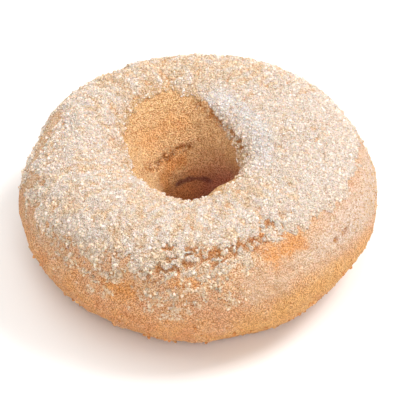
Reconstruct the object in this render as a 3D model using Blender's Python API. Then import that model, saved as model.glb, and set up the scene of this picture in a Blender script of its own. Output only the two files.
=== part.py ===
"""A sugared ring doughnut: one solid ring of fried dough, with a funnelled hole and a flat foot.

Units are metres, +Z is up, and the origin is on the table under the middle of the ring.
The ring is lofted: at each angle round the hole a section is worked out from a few sizes, and
neighbouring sections are joined by faces. Angle 0 is +X, and 90 degrees is +Y, the back.
"""

import math

import bmesh
import bpy
import numpy as np
from mathutils import Vector, noise

MM = 0.001

# Driving dimensions of the ring
OUTER_RADIUS = 42.9 * MM
HEIGHT = 31.1 * MM
BELT_HEIGHT = 15.8 * MM
WAIST_HEIGHT = 13.0 * MM
FOOT_OUTER_RADIUS = 31.4 * MM
FOOT_INNER_RADIUS = 13.0 * MM

# Fullness of a quarter of the section: 1 is a straight chamfer, 2 an ellipse, more is squarer
SHOULDER_FULLNESS = 2.2
KEEL_FULLNESS = 1.64
UNDER_HOLE_FULLNESS = 2.1

# The ring changes round the hole: angle, hole radius, crown radius, fullness of the funnel.
# A row counts most at its own angle, and ROW_BLEND is how many degrees away it still counts.
HOLE_ROWS = (
    (0.0, 9.6 * MM, 26.0 * MM, 3.6),
    (35.0, 9.2 * MM, 25.5 * MM, 5.2),
    (65.0, 10.0 * MM, 26.5 * MM, 3.8),
    (95.0, 10.8 * MM, 28.5 * MM, 1.9),
    (135.0, 10.4 * MM, 29.0 * MM, 1.55),
    (180.0, 9.2 * MM, 28.0 * MM, 1.6),
    (225.0, 8.5 * MM, 27.5 * MM, 1.85),
    (268.0, 8.9 * MM, 26.5 * MM, 2.1),
    (305.0, 8.1 * MM, 25.2 * MM, 3.3),
)
ROW_BLEND = 15.0

# How far from round the outline and the top are: order of the wave, its share, angle of a peak
OUTLINE_WAVES = ((2, 0.0045, 50.0), (3, 0.0051, 81.0), (4, 0.0020, 9.0), (5, 0.0063, 62.0))
HEIGHT_WAVES = ((1, 0.006, 250.0), (2, 0.008, 30.0), (3, 0.007, 100.0), (5, 0.005, 10.0))

# Mesh density: sections round the ring, steps along each stretch of a section, how much of the
# spacing goes by turning instead of by length, and the points that an arc is worked out from
SECTIONS = 126
KEEL_STEPS = 8
SHOULDER_STEPS = 12
FUNNEL_STEPS = 15
UNDER_HOLE_STEPS = 7
FOOT_STEPS = 3
TURN_SHARE = 0.45
ARC_DETAIL = 361

# Relief of the crust: size of the swells and lumps across, how far they stand out, where the
# lumps' pattern starts, and the height over which the relief fades in above the foot
SWELL_SIZE = 17.0 * MM
SWELL_DEPTH = 0.65 * MM
LUMP_SIZE = 6.5 * MM
LUMP_DEPTH = 0.42 * MM
LUMP_SHIFT = Vector((7.0, 3.0, 5.0))
RELIEF_RISE = 4.0 * MM

# Dents of the outer side: angle, height, depth (negative stands out), half width and half height
DENTS = (
    (207.0, 21.0 * MM, 0.9 * MM, 12.0, 3.0 * MM),
    (240.0, 21.0 * MM, 0.7 * MM, 18.0, 3.0 * MM),
    (287.0, 7.5 * MM, 0.8 * MM, 5.0, 3.0 * MM),
    (330.0, 20.0 * MM, 0.6 * MM, 12.0, 3.0 * MM),
    (38.0, 24.0 * MM, -0.5 * MM, 12.0, 7.0 * MM),
    (126.0, 23.0 * MM, 0.8 * MM, 7.0, 7.0 * MM),
    (166.0, 21.0 * MM, 1.3 * MM, 7.0, 8.0 * MM),
    (187.0, 18.0 * MM, -0.7 * MM, 7.0, 7.0 * MM),
    (316.0, 13.0 * MM, 0.6 * MM, 20.0, 9.0 * MM),
)

CRUST_COLOUR = (0.72, 0.50, 0.30, 1.0)
CRUST_ROUGHNESS = 0.85


def clear_scene():
    """Removes every object of the open scene."""
    for old in list(bpy.data.objects):
        bpy.data.objects.remove(old, do_unlink=True)


def turn_between(angle, middle):
    """Degrees from middle to angle, the short way round, from -180 to 180."""
    return (angle - middle + 180.0) % 360.0 - 180.0


def bell(distance, half_width):
    """1 at distance 0, falling smoothly to 0 beyond about two half widths."""
    return math.exp(-0.5 * (distance / half_width) ** 2)


def smooth_step(value):
    """0 below 0, 1 above 1, and a smooth rise between them."""
    share = min(1.0, max(0.0, value))
    return share * share * (3.0 - 2.0 * share)


def hole_row_at(angle):
    """Hole radius, crown radius and funnel fullness at an angle, blended from the nearby rows."""
    rows = np.array(HOLE_ROWS)
    weights = np.array([bell(turn_between(angle, row[0]), ROW_BLEND) for row in HOLE_ROWS])
    return weights @ rows[:, 1:] / weights.sum()


def waves_at(angle, waves):
    """1 plus the sum of the waves at an angle."""
    return 1.0 + sum(
        share * math.cos(order * math.radians(angle - peak)) for order, share, peak in waves
    )


def quarter_arc(centre, across, up, fullness, steps):
    """Points along a quarter superellipse about centre, closer together where it turns.

    It starts at centre + (across, 0) and ends at centre + (0, up). Either size may be negative.
    """
    fine = np.linspace(0.0, math.pi / 2, ARC_DETAIL)
    side = np.cos(fine).clip(0.0) ** (2.0 / fullness)
    rise = np.sin(fine).clip(0.0) ** (2.0 / fullness)
    curve = np.stack([centre[0] + across * side, centre[1] + up * rise], axis=1)
    stretch = np.diff(curve, axis=0)
    length = np.concatenate([[0.0], np.cumsum(np.linalg.norm(stretch, axis=1))])
    heading = np.unwrap(np.arctan2(stretch[:, 1], stretch[:, 0]))
    turned = np.concatenate([[0.0], np.cumsum(np.abs(np.diff(heading)))])
    turned = np.append(turned, turned[-1])
    progress = (1.0 - TURN_SHARE) * length / length[-1] + TURN_SHARE * turned / turned[-1]
    wanted = np.linspace(0.0, 1.0, steps + 1)
    points = np.stack([np.interp(wanted, progress, curve[:, i]) for i in (0, 1)], axis=1)
    points[-1] = curve[-1]
    return points


def section_at(angle):
    """The closed section at an angle, as (distance from the axis, height) points.

    It runs from the foot's outer edge up the rounded keel, over the shoulder and the crown, down
    the funnel and the hole's wall, under to the foot's inner edge, and back along the flat foot.
    """
    hole, crown, funnel = hole_row_at(angle)
    outer = OUTER_RADIUS * waves_at(angle, OUTLINE_WAVES)
    top = HEIGHT * waves_at(angle, HEIGHT_WAVES)
    foot_outer = FOOT_OUTER_RADIUS * outer / OUTER_RADIUS

    keel = quarter_arc(
        (foot_outer, BELT_HEIGHT), outer - foot_outer, -BELT_HEIGHT, KEEL_FULLNESS, KEEL_STEPS
    )[::-1]
    shoulder = quarter_arc(
        (crown, BELT_HEIGHT), outer - crown, top - BELT_HEIGHT, SHOULDER_FULLNESS, SHOULDER_STEPS
    )
    slope = quarter_arc(
        (crown, WAIST_HEIGHT), hole - crown, top - WAIST_HEIGHT, funnel, FUNNEL_STEPS
    )[::-1]
    under_hole = quarter_arc(
        (FOOT_INNER_RADIUS, WAIST_HEIGHT), hole - FOOT_INNER_RADIUS, -WAIST_HEIGHT,
        UNDER_HOLE_FULLNESS, UNDER_HOLE_STEPS,
    )
    foot = np.linspace(under_hole[-1], keel[0], FOOT_STEPS + 1)
    return np.concatenate([keel[:-1], shoulder[:-1], slope[:-1], under_hole[:-1], foot[:-1]])


def dents_at(angle, point):
    """How far the dents of the outer side cut in at a point of the surface."""
    if math.hypot(point.x, point.y) < FOOT_OUTER_RADIUS:
        return 0.0
    return sum(
        depth * bell(turn_between(angle, middle), half_width) * bell(point.z - height, half_height)
        for middle, height, depth, half_width, half_height in DENTS
    )


def relief_at(angle, point):
    """How far the crust stands out of the plain section at a point, negative where it sinks."""
    swell = noise.noise(point / SWELL_SIZE)
    lumps = noise.noise(point / LUMP_SIZE + LUMP_SHIFT)
    return SWELL_DEPTH * swell + LUMP_DEPTH * lumps - dents_at(angle, point)


def loft_ring():
    """The plain ring as a bmesh, with the angle of each of its points."""
    ring = bmesh.new()
    rows, angles = [], []
    for index in range(SECTIONS):
        angle = 360.0 * index / SECTIONS
        turn = math.radians(angle)
        rows.append([
            ring.verts.new((radius * math.cos(turn), radius * math.sin(turn), height))
            for radius, height in section_at(angle)
        ])
        angles.extend([angle] * len(rows[-1]))
    for here, beyond in zip(rows, rows[1:] + rows[:1]):
        for i in range(len(here)):
            j = (i + 1) % len(here)
            ring.faces.new((here[i], beyond[i], beyond[j], here[j]))
    bmesh.ops.recalc_face_normals(ring, faces=ring.faces)
    return ring, angles


def raise_relief(ring, angles):
    """Moves each point along its normal by the crust's relief, which fades out at the foot."""
    ring.normal_update()
    moves = [
        vert.normal * relief_at(angle, vert.co) * smooth_step(vert.co.z / RELIEF_RISE)
        for vert, angle in zip(ring.verts, angles)
    ]
    for vert, move in zip(ring.verts, moves):
        vert.co += move
        vert.co.z = max(0.0, vert.co.z)


def centre_on_origin(ring):
    """Slides the ring along the table until the origin is under the middle of its outline."""
    xs = [vert.co.x for vert in ring.verts]
    ys = [vert.co.y for vert in ring.verts]
    middle = Vector(((min(xs) + max(xs)) / 2, (min(ys) + max(ys)) / 2, 0.0))
    bmesh.ops.translate(ring, verts=ring.verts, vec=-middle)


def crust_material():
    """Matt golden crust under a dusting of sugar."""
    material = bpy.data.materials.new("sugared_crust")
    material.use_nodes = True
    surface = material.node_tree.nodes["Principled BSDF"]
    surface.inputs["Base Color"].default_value = CRUST_COLOUR
    surface.inputs["Roughness"].default_value = CRUST_ROUGHNESS
    surface.inputs["Metallic"].default_value = 0.0
    material.diffuse_color = CRUST_COLOUR
    return material


def build_doughnut():
    """The doughnut as one object."""
    ring, angles = loft_ring()
    raise_relief(ring, angles)
    centre_on_origin(ring)
    mesh = bpy.data.meshes.new("doughnut")
    ring.to_mesh(mesh)
    ring.free()
    mesh.shade_smooth()
    mesh.materials.append(crust_material())
    doughnut = bpy.data.objects.new("doughnut", mesh)
    bpy.context.scene.collection.objects.link(doughnut)
    return doughnut


clear_scene()
build_doughnut()
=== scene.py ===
"""Looks of a sugared ring doughnut: fried crust, a caked coat of sugar, and loose grains and crumbs.

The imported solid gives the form. One Geometry Nodes group, the surface rule, says for each place on
it how much sugar lies there, where it is worn off and how lumpy it is. The crust and the sugar's
coat are the same form remeshed finely and shaped by that rule, and grains are strewn over them.
Lengths are in metres, apart from the values whose names end in _mm, which are in millimetres.
"""

from __future__ import annotations

import logging
import math
from dataclasses import dataclass
from enum import Enum

import bmesh
import bpy
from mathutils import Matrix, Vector


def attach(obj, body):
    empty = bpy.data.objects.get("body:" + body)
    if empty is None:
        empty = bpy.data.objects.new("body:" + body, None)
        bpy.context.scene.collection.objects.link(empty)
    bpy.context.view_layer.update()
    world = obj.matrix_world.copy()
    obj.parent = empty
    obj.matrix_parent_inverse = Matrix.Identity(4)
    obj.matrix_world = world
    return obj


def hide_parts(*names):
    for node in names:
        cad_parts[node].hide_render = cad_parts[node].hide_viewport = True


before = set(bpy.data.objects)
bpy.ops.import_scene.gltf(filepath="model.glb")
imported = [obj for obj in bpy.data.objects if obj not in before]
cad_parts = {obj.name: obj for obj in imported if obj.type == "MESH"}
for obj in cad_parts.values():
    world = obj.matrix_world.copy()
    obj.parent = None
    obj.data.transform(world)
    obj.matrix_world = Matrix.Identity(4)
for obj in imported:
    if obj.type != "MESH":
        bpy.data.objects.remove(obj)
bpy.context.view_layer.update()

MM = 0.001
BODY = "root"
DOUGH_NODE = "doughnut"
RELIEF = "relief"
CM2_IN_M2 = 1.0e4
MERGE_DISTANCE = 0.01 * MM

# Every material is matt, and light glows a little way through it
MATT_SPECULAR = 0.15
GLOW_WEIGHT = 0.30
GLOW_REACH = (1.0, 0.5, 0.25)
GLOW_DEPTH = 0.7 * MM

# Noise and pebbles
NOISE_ROUGHNESS = 0.55
PEBBLE_SMOOTHNESS = 0.35
PEBBLE_TOP = 1.15
PEBBLE_SLOPE = -1.5

# Fine mottling and specks, where the size of the finest flecks is 1
COARSE_FLECK = 3.1
COARSE_SHARE = 0.3
FINE_SHARE = 1.8
SPECK_SPREAD = 0.55
SPECK_EDGE = (-0.05, 0.05)

# The sizes of the broad, the patchy and the lumpy swells of chance, where a strip and a spot run
# out as a share of their reach, and how lines and films sway
SWELLS_MM = (11.0, 3.6, 1.9)
STRIP_EDGE = (0.2, 1.3)
SPOT_EDGE = (0.2, 1.8)
LINE_SWAY = (0.0, 2.4, 3.6)
FILM_SWAY = (8.0, 9.0, 6.0)

# A Span is where something starts to rise and where it ends, and a Sway is how far the three swells
# of chance move an edge
Socket = bpy.types.NodeSocket
Value = Socket | float | tuple[float, ...]
Fed = Value | str | bpy.types.Material
Point = tuple[float, float, float]
Colour = tuple[float, float, float]
Span = tuple[float, float]
Sway = tuple[float, float, float]

log = logging.getLogger("sugared_doughnut")


class Mark(Enum):
    """What the surface rule says of each place, kept on the meshes under these names."""

    SUGAR = "sugar"
    VEIL = "veil"
    FILM = "film"
    POWDER = "powder"
    LUMP = "lump"
    FUNNEL = "funnel"
    GOLDEN = "golden"
    DARK = "dark"
    CLUMPED = "clumped"
    FLAKY = "flaky"
    ORANGE = "orange"
    # Painted shadow: the dark line along the crease low on the far wall of the hole
    CREASE = "crease_shadow"
    TONE = "tone"


class Builder:
    """Adds nodes to a tree and links what they are given, so that a formula reads as one."""

    def __init__(self, tree: bpy.types.NodeTree) -> None:
        """Starts on a tree.

        Args:
            tree: The tree that the nodes are added to.
        """
        self.tree = tree

    def feed(self, socket: Socket, value: Fed) -> None:
        """Links a socket, or sets its value; a colour may come without its fourth number."""
        if isinstance(value, Socket):
            self.tree.links.new(value, socket)
        elif socket.type == "RGBA" and len(value) == 3:
            socket.default_value = (*value, 1.0)
        else:
            socket.default_value = value

    def add(
        self, kind: str, inputs: dict[int | str, Fed] | None = None, **settings: object
    ) -> bpy.types.Node:
        """Adds one node.

        Args:
            kind: The node's type.
            inputs: What its sockets are fed, by the input's name or number.
            settings: The node's own settings.

        Returns:
            The node.
        """
        node = self.tree.nodes.new(kind)
        for name, value in settings.items():
            setattr(node, name, value)
        for key, value in (inputs or {}).items():
            self.feed(node.inputs[key], value)
        return node

    def math(self, operation: str, *values: Value, clamp: bool = False) -> Socket:
        """Adds a sum on numbers.

        Args:
            operation: The kind of sum, such as ADD.
            values: What it works on.
            clamp: Whether the result is kept between 0 and 1.

        Returns:
            The result.
        """
        node = self.add("ShaderNodeMath", dict(enumerate(values)), operation=operation, use_clamp=clamp)
        return node.outputs[0]

    def times(self, *values: Value) -> Value:
        """Multiplies the values together."""
        result = values[0]
        for value in values[1:]:
            result = self.math("MULTIPLY", result, value)
        return result

    def plus(self, *values: Value) -> Value:
        """Adds the values up."""
        result = values[0]
        for value in values[1:]:
            result = self.math("ADD", result, value)
        return result

    def less(self, value: Value, taken: Value) -> Socket:
        """Takes one value from another."""
        return self.math("SUBTRACT", value, taken)

    def rest(self, share: Value) -> Socket:
        """What a share leaves of 1."""
        return self.math("SUBTRACT", 1.0, share)

    def kept(self, value: Value) -> Socket:
        """The value, kept between 0 and 1."""
        return self.math("ADD", value, 0.0, clamp=True)

    def between(self, share: Value, first: Value, second: Value) -> Socket:
        """A number that goes from the first to the second as the share goes from 0 to 1."""
        return self.plus(self.times(self.rest(share), first), self.times(share, second))

    def ramp(self, value: Value, low: Value, high: Value) -> Socket:
        """Adds a smooth rise from 0 to 1.

        Args:
            value: What is read.
            low: Where the rise starts.
            high: Where it ends.

        Returns:
            The share, from 0 to 1.
        """
        inputs = {"Value": value, "From Min": low, "From Max": high}
        return self.add("ShaderNodeMapRange", inputs, interpolation_type="SMOOTHSTEP").outputs["Result"]

    def noise(self, place: Socket, size: float, detail: float = 2.0, seed: Value = 0.0) -> Socket:
        """Adds a smooth random value that is 0 on average and seldom passes 0.3 either way.

        Args:
            place: The point it is read at.
            size: How long one swell of it is, in the unit of the point.
            detail: How many finer layers it has.
            seed: Another value gives another pattern.

        Returns:
            The random value.
        """
        inputs = {
            "Vector": place,
            "W": seed,
            "Detail": detail,
            "Roughness": NOISE_ROUGHNESS,
            "Scale": 1.0 / size,
        }
        return self.less(self.add("ShaderNodeTexNoise", inputs, noise_dimensions="4D").outputs["Fac"], 0.5)

    def pebbles(self, place: Socket, size: float) -> Socket:
        """Adds rounded lumps side by side.

        Args:
            place: The point they are read at.
            size: How far apart they are, in the unit of the point.

        Returns:
            Their height: 1 on a lump, and down to 0 in the gaps.
        """
        inputs = {"Vector": place, "Scale": 1.0 / size, "Smoothness": PEBBLE_SMOOTHNESS}
        off_middle = self.add("ShaderNodeTexVoronoi", inputs, feature="SMOOTH_F1").outputs["Distance"]
        return self.math("MULTIPLY_ADD", off_middle, PEBBLE_SLOPE, PEBBLE_TOP, clamp=True)

    def mix_colours(self, share: Value, first: Value, second: Value) -> Socket:
        """Mixes two colours.

        Args:
            share: How much of the second one there is.
            first: The colour at a share of 0.
            second: The colour at a share of 1.

        Returns:
            The mixed colour.
        """
        node = self.add("ShaderNodeMix", data_type="RGBA", clamp_factor=True)
        for number, value in ((0, share), (6, first), (7, second)):
            self.feed(node.inputs[number], value)
        return node.outputs[2]

    def vector(self, operation: str, *values: Value) -> bpy.types.Node:
        """Adds a sum on vectors, such as DISTANCE, and gives its node."""
        return self.add("ShaderNodeVectorMath", dict(enumerate(values)), operation=operation)

    def scaled(self, vector: Value, scale: Value) -> Socket:
        """The vector, made longer or shorter."""
        return self.add("ShaderNodeVectorMath", {0: vector, "Scale": scale}, operation="SCALE").outputs[0]

    def split(self, vector: Socket) -> tuple[Socket, Socket, Socket]:
        """The three parts of a vector."""
        node = self.add("ShaderNodeSeparateXYZ", {0: vector})
        return node.outputs[0], node.outputs[1], node.outputs[2]

    def joined(self, x: Value, y: Value, z: Value) -> Socket:
        """The vector that has these three parts."""
        return self.add("ShaderNodeCombineXYZ", {0: x, 1: y, 2: z}).outputs[0]

    def away(self, place: Socket, centre: Point) -> Socket:
        """The distance of a point from a centre."""
        return self.vector("DISTANCE", place, centre).outputs["Value"]

    def off_path(self, place: Socket, path: tuple[Point, ...]) -> Socket:
        """Adds the distance of a point from a path of straight stretches.

        Args:
            place: The point.
            path: The path's corners.

        Returns:
            The distance.
        """
        nearest = None
        for start, end in zip(path, path[1:]):
            stretch = Vector(end) - Vector(start)
            from_start = self.vector("SUBTRACT", place, start).outputs[0]
            along = self.vector("DOT_PRODUCT", from_start, tuple(stretch)).outputs["Value"]
            share = self.math("DIVIDE", along, stretch.length_squared, clamp=True)
            foot = self.scaled(tuple(stretch), share)
            distance = self.vector("DISTANCE", from_start, foot).outputs["Value"]
            nearest = distance if nearest is None else self.math("MINIMUM", nearest, distance)
        return nearest


def in_use(sockets: bpy.types.bpy_prop_collection, kind: str) -> Socket:
    """The first socket of a kind that the node's settings leave in use."""
    return next(socket for socket in sockets if socket.type == kind and socket.enabled)


class ShapeTree(Builder):
    """A Geometry Nodes tree with named inputs, which makes one piece."""

    def __init__(self, name: str, sizes: dict[str, float | int]) -> None:
        """Makes the tree with its inputs.

        Args:
            name: The tree's name.
            sizes: Its named inputs and their values.
        """
        tree = bpy.data.node_groups.new(name, "GeometryNodeTree")
        super().__init__(tree)
        tree.interface.new_socket("Geometry", in_out="INPUT", socket_type="NodeSocketGeometry")
        self.values = {}
        for label, value in sizes.items():
            kind = "NodeSocketInt" if isinstance(value, int) else "NodeSocketFloat"
            socket = tree.interface.new_socket(label, in_out="INPUT", socket_type=kind)
            self.values[socket.identifier] = value
        tree.interface.new_socket("Geometry", in_out="OUTPUT", socket_type="NodeSocketGeometry")
        self.given = self.add("NodeGroupInput").outputs
        self.position = self.add("GeometryNodeInputPosition").outputs[0]
        self.normal = self.add("GeometryNodeInputNormal").outputs[0]

    def smoothed(self, shape: Socket, rounds: Socket) -> Socket:
        """Evens out the shape by moving each point between its neighbours, so many rounds."""
        blur = self.add("GeometryNodeBlurAttribute", {"Iterations": rounds}, data_type="FLOAT_VECTOR")
        self.feed(in_use(blur.inputs, "VECTOR"), self.position)
        even = in_use(blur.outputs, "VECTOR")
        return self.add("GeometryNodeSetPosition", {"Geometry": shape, "Position": even}).outputs[0]

    def mark(self, shape: Socket, mark: Mark, value: Socket, domain: str = "POINT") -> Socket:
        """Keeps a value on the shape.

        Args:
            shape: The shape.
            mark: Which mark it is.
            value: The value.
            domain: What holds it: a point or an instance.

        Returns:
            The marked shape.
        """
        inputs = {"Geometry": shape, "Name": mark.value, "Value": value}
        kind = "GeometryNodeStoreNamedAttribute"
        return self.add(kind, inputs, data_type="FLOAT", domain=domain).outputs[0]

    def read(self, mark: Mark) -> Socket:
        """A value that the shape carries."""
        node = self.add("GeometryNodeInputNamedAttribute", {"Name": mark.value}, data_type="FLOAT")
        return node.outputs["Attribute"]

    def raised(self, shape: Socket, height_mm: Value) -> Socket:
        """The shape, moved outwards by a height in millimetres."""
        move = self.scaled(self.normal, self.times(height_mm, MM))
        return self.add("GeometryNodeSetPosition", {"Geometry": shape, "Offset": move}).outputs[0]

    def chance(self, seed_shift: int) -> Socket:
        """A random share from 0 to 1 for each item, which depends on the tree's Seed."""
        inputs = {"Seed": self.plus(self.given["Seed"], seed_shift)}
        return in_use(self.add("FunctionNodeRandomValue", inputs, data_type="FLOAT").outputs, "VALUE")

    def end(self, shape: Socket, material: bpy.types.Material) -> None:
        """Ends the tree: instances become mesh, and the mesh gets its material."""
        real = self.add("GeometryNodeRealizeInstances", {0: shape}).outputs[0]
        dressed = self.add("GeometryNodeSetMaterial", {"Geometry": real, "Material": material}).outputs[0]
        self.add("NodeGroupOutput", {0: dressed})

    def apply_to(self, piece: bpy.types.Object) -> None:
        """Adds the tree to a piece as a modifier, with its inputs set by their identifiers."""
        modifier = piece.modifiers.new(self.tree.name, "NODES")
        modifier.node_group = self.tree
        for identifier, value in self.values.items():
            modifier[identifier] = value


def settle(piece: bpy.types.Object, name: str) -> bpy.types.Object:
    """Turns a piece with modifiers into a plain mesh piece, and hands it to the doughnut's body.

    Args:
        piece: The piece, which is removed.
        name: The new piece's name.

    Returns:
        The plain piece, at the origin.
    """
    graph = bpy.context.evaluated_depsgraph_get()
    mesh = bpy.data.meshes.new_from_object(piece.evaluated_get(graph), depsgraph=graph)
    bpy.data.objects.remove(piece, do_unlink=True)
    mesh.name = name
    plain = bpy.data.objects.new(name, mesh)
    bpy.context.scene.collection.objects.link(plain)
    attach(plain, BODY)
    return plain


def fine_form(cell: float) -> bpy.types.Object:
    """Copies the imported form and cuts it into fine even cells.

    Args:
        cell: The side of a cell.

    Returns:
        A rough piece that holds the form, with its Remesh modifier.
    """
    form = bmesh.new()
    form.from_mesh(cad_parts[DOUGH_NODE].data)
    bmesh.ops.remove_doubles(form, verts=form.verts, dist=MERGE_DISTANCE)
    mesh = bpy.data.meshes.new("form")
    form.to_mesh(mesh)
    form.free()
    rough = bpy.data.objects.new("form", mesh)
    bpy.context.scene.collection.objects.link(rough)
    remesh = rough.modifiers.new("fine_cells", "REMESH")
    remesh.mode = "VOXEL"
    remesh.voxel_size = cell
    remesh.adaptivity = 0.0
    return rough


@dataclass(frozen=True)
class Spot:
    """A round place on the surface: its centre, its radius and how strongly it counts."""

    centre_mm: Point
    radius_mm: float
    strength: float = 1.0


@dataclass(frozen=True)
class Strip:
    """A strip along the surface: its path, how far it reaches, how it sways and how strongly it counts."""

    corners_mm: tuple[Point, ...]
    reach_mm: float
    sway: Sway
    strength: float = 1.0


class Survey(Builder):
    """The surface rule's tree, with what it measures at each place in millimetres and degrees."""

    def __init__(self, tree: bpy.types.NodeTree, ring_mm: tuple[float, float], streak_stretch: float) -> None:
        """Measures the place.

        Args:
            tree: The rule's tree.
            ring_mm: The radius and the height of the middle of the ring's section.
            streak_stretch: How much longer than wide the streaks are, which run down the slope.
        """
        super().__init__(tree)
        self.place = self.scaled(self.add("GeometryNodeInputPosition").outputs[0], 1.0 / MM)
        self.x, self.y, self.z = self.split(self.place)
        radius = self.math("SQRT", self.plus(self.times(self.x, self.x), self.times(self.y, self.y)))
        self.front = self.math("DIVIDE", self.times(self.y, -1.0), radius)
        diagonal = self.times(radius, math.sqrt(2.0))
        self.front_right = self.math("DIVIDE", self.less(self.x, self.y), diagonal)
        over = self.math("ARCTAN2", self.less(radius, ring_mm[0]), self.less(self.z, ring_mm[1]))
        self.over_deg = self.times(over, 180.0 / math.pi)
        outwards = self.math("DIVIDE", ring_mm[0], radius)
        down = self.times(over, ring_mm[1] / streak_stretch)
        self.streaked = self.joined(self.times(self.x, outwards), self.times(self.y, outwards), down)
        broad_mm, patchy_mm, lumpy_mm = SWELLS_MM
        self.broad = self.noise(self.place, broad_mm, seed=1.0)
        self.patchy = self.noise(self.place, patchy_mm, detail=3.0, seed=2.0)
        self.lumpy = self.noise(self.place, lumpy_mm, seed=3.0)

    def wander(self, sway: Sway) -> Socket:
        """Adds up the swells of chance, each times its share, to make an edge uneven."""
        swells = zip((self.broad, self.patchy, self.lumpy), sway)
        return self.plus(*(self.times(swell, share) for swell, share in swells))

    def near(self, strip: Strip) -> Socket:
        """The strip's strength along its path, falling to 0 where it ends."""
        off = self.plus(self.off_path(self.place, strip.corners_mm), self.wander(strip.sway))
        start, end = (share * strip.reach_mm for share in STRIP_EDGE)
        return self.times(self.rest(self.ramp(off, start, end)), strip.strength)

    def inside(self, spot: Spot, sway: Sway) -> Socket:
        """The spot's strength within its radius, falling to 0 round it."""
        radii = self.times(self.away(self.place, spot.centre_mm), 1.0 / spot.radius_mm)
        off = self.plus(radii, self.wander(sway))
        return self.times(self.rest(self.ramp(off, *SPOT_EDGE)), spot.strength)

    def most(self, *shares: Socket) -> Socket:
        """The largest of the shares."""
        largest = shares[0]
        for share in shares[1:]:
            largest = self.math("MAXIMUM", largest, share)
        return largest


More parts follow.
